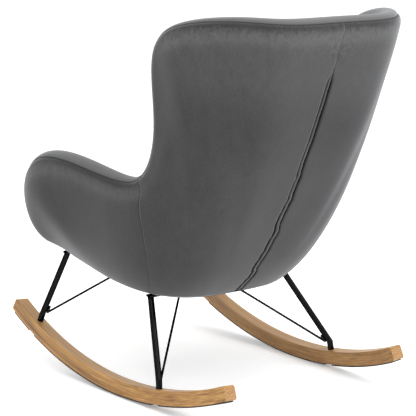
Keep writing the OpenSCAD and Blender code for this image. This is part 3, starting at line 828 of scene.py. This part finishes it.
def faces_of_wood(p, colour, inward):
    """Tones by the way a face looks, set to match the photo: painted light on the top, paler and pinker,
    painted shade on the face towards the other runner, and the ends darker, with the rings cut across."""
    geometry = p.tree.nodes.new("ShaderNodeNewGeometry")
    facing_way = p.tree.nodes.new("ShaderNodeSeparateXYZ")
    p.link(geometry.outputs["Normal"], facing_way.inputs[0])
    x, y, z = facing_way.outputs
    # painted light: the top face, lit from above, is paler and pinker
    colour = p.blend(p.spread(z, 0.72, 0.95, 0, 0.42), colour, (0.540, 0.315, 0.140))
    # painted shade on the face towards the other runner, which lies under the seat
    inner = p.spread(p.math("MULTIPLY", x, inward), 0.5, 0.9, 0, 0.25)
    colour = p.blend(inner, colour, (0.090, 0.040, 0.012))
    end = p.spread(p.math("ABSOLUTE", y), 0.80, 0.9, 0, 1)
    ends = p.noise(95, 5, 0.6, 2.5, p.stretched((1, 1, 2.2)))
    end_colour = p.colours(ends, (0.35, (0.200, 0.090, 0.028)), (0.62, (0.500, 0.290, 0.115)))
    return p.blend(end, colour, end_colour)


def wood_material(name, inward):
    """Bent wood, taken for oak: grain runs round the arc, in thin laminations, with open pores.
    inward is 1 where the face towards the other runner looks to +X, and -1 where it looks to -X."""
    p = Paint(name, Specular_IOR_Level=0.36, Coat_Weight=0.12, Coat_Roughness=0.32)
    grain, radius = along_runner(p)
    rings = p.noise(110, 5, 0.6, 0.7, p.stretched((1, 0.022, 1), grain))
    fine = p.noise(420, 5, 0.65, 0.2, p.stretched((1, 0.016, 1), grain))
    pores = p.noise(900, 2, 0.5, 0, p.stretched((1, 0.05, 1), grain))
    broad = p.noise(7, 3, 0.5, 0.4, p.stretched((1, 0.4, 1), grain))
    layers = p.math("SINE", p.math("MULTIPLY", radius, 2 * math.pi / LAMINATION))
    tone = p.math("ADD", p.math("MULTIPLY", rings, 0.36), p.math("MULTIPLY", fine, 0.54))
    tone = p.math("ADD", tone, p.math("MULTIPLY", broad, 0.2))
    tone = p.math("SUBTRACT", tone, 0.04)
    colour = p.colours(tone, (0.36, (0.085, 0.032, 0.007)), (0.44, (0.230, 0.105, 0.023)),
                       (0.53, (0.370, 0.185, 0.042)), (0.66, (0.560, 0.320, 0.094)))
    colour = p.blend(p.spread(layers, 0.82, 1.0, 0, 0.28), colour, (0.200, 0.088, 0.024))
    colour = p.blend(p.spread(pores, 0.33, 0.25, 0, 0.75), colour, (0.105, 0.042, 0.012))
    colour = faces_of_wood(p, colour, inward)
    rough = p.spread(tone, 0.3, 0.75, 0.52, 0.36)
    relief = p.math("ADD", p.math("MULTIPLY", fine, 0.5), p.math("MULTIPLY", pores, 0.5))
    normal = p.bump(relief, 0.0004, 0.5, rounded_edges(p, 0.0022))
    return p.finish(colour, rough, normal)


def rounded_edges(p, radius):
    node = p.tree.nodes.new("ShaderNodeBevel")
    node.samples = 4
    node.inputs["Radius"].default_value = radius
    return node.outputs[0]


def enamel_material():
    """Black enamel, shaded as a very dark metal so that its reflections stay as dim as in the photo:
    glossy, with a faint orange peel and duller patches."""
    p = Paint("black_enamel", Metallic=1.0)
    p.shader.inputs["Specular Tint"].default_value = (0.15, 0.15, 0.15, 1)
    peel = p.noise(380, 2, 0.5)
    dust = p.noise(60, 5, 0.6)
    colour = p.colours(dust, (0.35, (0.009, 0.009, 0.010)), (0.7, (0.014, 0.014, 0.015)))
    rough = p.spread(dust, 0.35, 0.7, 0.10, 0.17)
    return p.finish(colour, rough, p.bump(peel, 0.00015, 0.35))


def metal_material(name, dark, light, rough_low, rough_high, metallic=1.0, scale=240):
    """Plated or bare metal, or fibre board where metallic is 0, with fine scratches and uneven tone."""
    p = Paint(name, Metallic=metallic)
    tone = p.noise(scale, 5, 0.6, 0.3)
    scratches = p.noise(900, 3, 0.6, 0, p.stretched((1, 0.08, 1)))
    colour = p.colours(tone, (0.3, dark), (0.7, light))
    rough = p.spread(scratches, 0.3, 0.7, rough_low, rough_high)
    return p.finish(colour, rough, p.bump(scratches, 0.0001, 0.3))


def rubber_material():
    p = Paint("rubber", Specular_IOR_Level=0.25)
    grit = p.noise(700, 4, 0.6)
    scuff = p.noise(40, 5, 0.6, 0.4)
    colour = p.colours(scuff, (0.35, (0.012, 0.012, 0.012)), (0.75, (0.040, 0.039, 0.037)))
    return p.finish(colour, p.spread(grit, 0.3, 0.7, 0.65, 0.9), p.bump(grit, 0.0003, 0.5))


def board_material():
    """Plywood: pale face with broad grain."""
    p = Paint("board", Specular_IOR_Level=0.3)
    grain = p.noise(28, 5, 0.6, 1.2, p.stretched((1, 0.12, 1)))
    fine = p.noise(350, 4, 0.6, 0, p.stretched((1, 0.06, 1)))
    tone = p.math("ADD", p.math("MULTIPLY", grain, 0.7), p.math("MULTIPLY", fine, 0.3))
    colour = p.colours(tone, (0.32, (0.330, 0.200, 0.100)), (0.68, (0.560, 0.400, 0.235)))
    return p.finish(colour, p.spread(fine, 0.3, 0.7, 0.6, 0.8), p.bump(fine, 0.0003, 0.5))


def dust_cloth_material():
    """Thin non-woven black cloth: pressed dots and loose fibre."""
    p = Paint("dust_cloth", Sheen_Weight=0.2, Specular_IOR_Level=0.15)
    dots = p.tree.nodes.new("ShaderNodeTexVoronoi")
    dots.inputs["Scale"].default_value = 480
    dots.inputs["Randomness"].default_value = 0.15
    p.link(p.place, dots.inputs["Vector"])
    fibre = p.noise(900, 4, 0.7, 0.5)
    tone = p.math("ADD", p.math("MULTIPLY", fibre, 0.7), p.math("MULTIPLY", dots.outputs[0], 0.4))
    colour = p.colours(tone, (0.3, (0.014, 0.014, 0.015)), (0.8, (0.045, 0.045, 0.047)))
    colour = p.blend(p.math("MULTIPLY", p.mark("seam"), 0.6), colour, (0.006, 0.006, 0.006))
    return p.finish(colour, p.spread(fibre, 0.3, 0.7, 0.8, 0.95), p.bump(tone, 0.0004, 0.6))


def dress(material, slot, *nodes):
    """Gives CAD nodes a better finish; their shape stays."""
    for name in nodes:
        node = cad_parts[name]
        node.data.materials.clear()
        node.data.materials.append(material)
        shade_by_angle(node)


def shade_by_angle(node):
    mesh = node.data
    mesh.shade_smooth()
    mesh.set_sharp_from_angle(angle=math.radians(32))


def hardware():
    corners = [f"{place}_{side}" for place in ("front", "rear") for side in ("left", "right")]
    enamel = enamel_material()
    dress(enamel, "black_steel", *[f"leg_{c}" for c in corners], *[f"brace_{c}" for c in corners],
          "side_bar_left", "side_bar_right", "cross_bar_front", "cross_bar_rear",
          "brace_bar_front", "brace_bar_rear")
    dress(wood_material("oak_left", -1), "wood", "runner_left")
    dress(wood_material("oak_right", 1), "wood", "runner_right")
    dress(rubber_material(), "rubber", "rubber_strips_left", "rubber_strips_right")
    black = metal_material("black_oxide", (0.02, 0.02, 0.022), (0.06, 0.06, 0.065), 0.3, 0.5)
    zinc = metal_material("zinc", (0.42, 0.43, 0.46), (0.62, 0.63, 0.65), 0.25, 0.42)
    raw = metal_material("raw_steel", (0.20, 0.19, 0.18), (0.36, 0.35, 0.34), 0.35, 0.6)
    panel = metal_material("fibre_panel", (0.16, 0.10, 0.055), (0.26, 0.18, 0.10), 0.75, 0.9, 0.0, 90)
    dress(black, "black_bolt", "runner_bolts", "seat_bolts")
    dress(zinc, "zinc", "runner_washers", "foot_inserts", "seat_washers", "tee_nuts")
    dress(raw, "raw_steel", "rim_tube")
    dress(panel, "panel", "back_panel", "arm_panel_left", "arm_panel_right")
    dress(board_material(), "board", "seat_board")


# ---------- camera, floor and light ----------

def towards(azimuth, elevation):
    a, e = math.radians(azimuth), math.radians(elevation)
    return Vector((math.sin(a) * math.cos(e), -math.cos(a) * math.cos(e), math.sin(e)))


def aim(thing, place, target):
    thing.location = place
    thing.rotation_euler = (Vector(target) - Vector(place)).to_track_quat("-Z", "Y").to_euler()
    bpy.context.collection.objects.link(thing)


# from a fit of the camera to the runners' edges and the feet of the legs in the photo
CAMERA_LENS = 140.09
CAMERA_AZIMUTH = 141.778
CAMERA_ELEVATION = 10.979
CAMERA_DISTANCE = 4.1776
CAMERA_TARGET = (0, -0.0308, 0.4402)
# name, azimuth and elevation in degrees, distance, width and height in metres, power in watts; they
# were set by comparing the render's brightness with the photo's
LAMPS = [
    ("key", 208, 34, 3.2, 0.9, 2.0, 20),
    ("streak", 139, 40, 3.2, 0.7, 1.8, 18),
    ("top", 175, 72, 2.8, 1.2, 1.2, 46),
    ("front", -20, 45, 3.2, 1.8, 1.8, 20),
]
LAMP_TARGET = (0, 0, 0.5)


def camera():
    data = bpy.data.cameras.new("camera")
    data.lens = CAMERA_LENS
    data.sensor_width = 36
    eye = bpy.data.objects.new("camera", data)
    target = Vector(CAMERA_TARGET)
    aim(eye, target + towards(CAMERA_AZIMUTH, CAMERA_ELEVATION) * CAMERA_DISTANCE, target)
    bpy.context.scene.camera = eye


def lamp(name, azimuth, elevation, distance, width, height, power):
    data = bpy.data.lights.new(name, "AREA")
    data.shape = "RECTANGLE"
    data.size = width
    data.size_y = height
    data.energy = power
    target = Vector(LAMP_TARGET)
    aim(bpy.data.objects.new(name, data), target + towards(azimuth, elevation) * distance, target)


def studio():
    """A wide floor that glows a little, so that shadows stay as faint as in the photo, soft lamps,
    and a bright sky."""
    bpy.context.scene.view_settings.view_transform = "Standard"
    bpy.ops.mesh.primitive_plane_add(size=40, location=(0, 0, -0.0004))
    floor = bpy.context.object
    floor.name = "floor"
    p = Paint("floor", Specular_IOR_Level=0.1, Emission_Strength=0.24)
    p.shader.inputs["Emission Color"].default_value = (1, 1, 1, 1)
    tone = p.noise(3, 4, 0.5)
    floor.data.materials.append(
        p.finish(p.colours(tone, (0.3, (0.93, 0.93, 0.93)), (0.7, (0.95, 0.95, 0.95))),
                 p.spread(tone, 0.3, 0.7, 0.8, 0.9)))
    world = bpy.data.worlds.new("studio")
    bpy.context.scene.world = world
    world.use_nodes = True
    sky = world.node_tree.nodes["Background"]
    sky.inputs["Color"].default_value = (1, 1, 1, 1)
    sky.inputs["Strength"].default_value = 1.0
    for settings in LAMPS:
        lamp(*settings)


def make():
    velvet = velvet_material()
    outer_covers(velvet)
    inner_covers(velvet)
    closure(velvet)
    cushion(velvet)
    dust_cover(dust_cloth_material())
    hardware()
    camera()
    studio()


make()
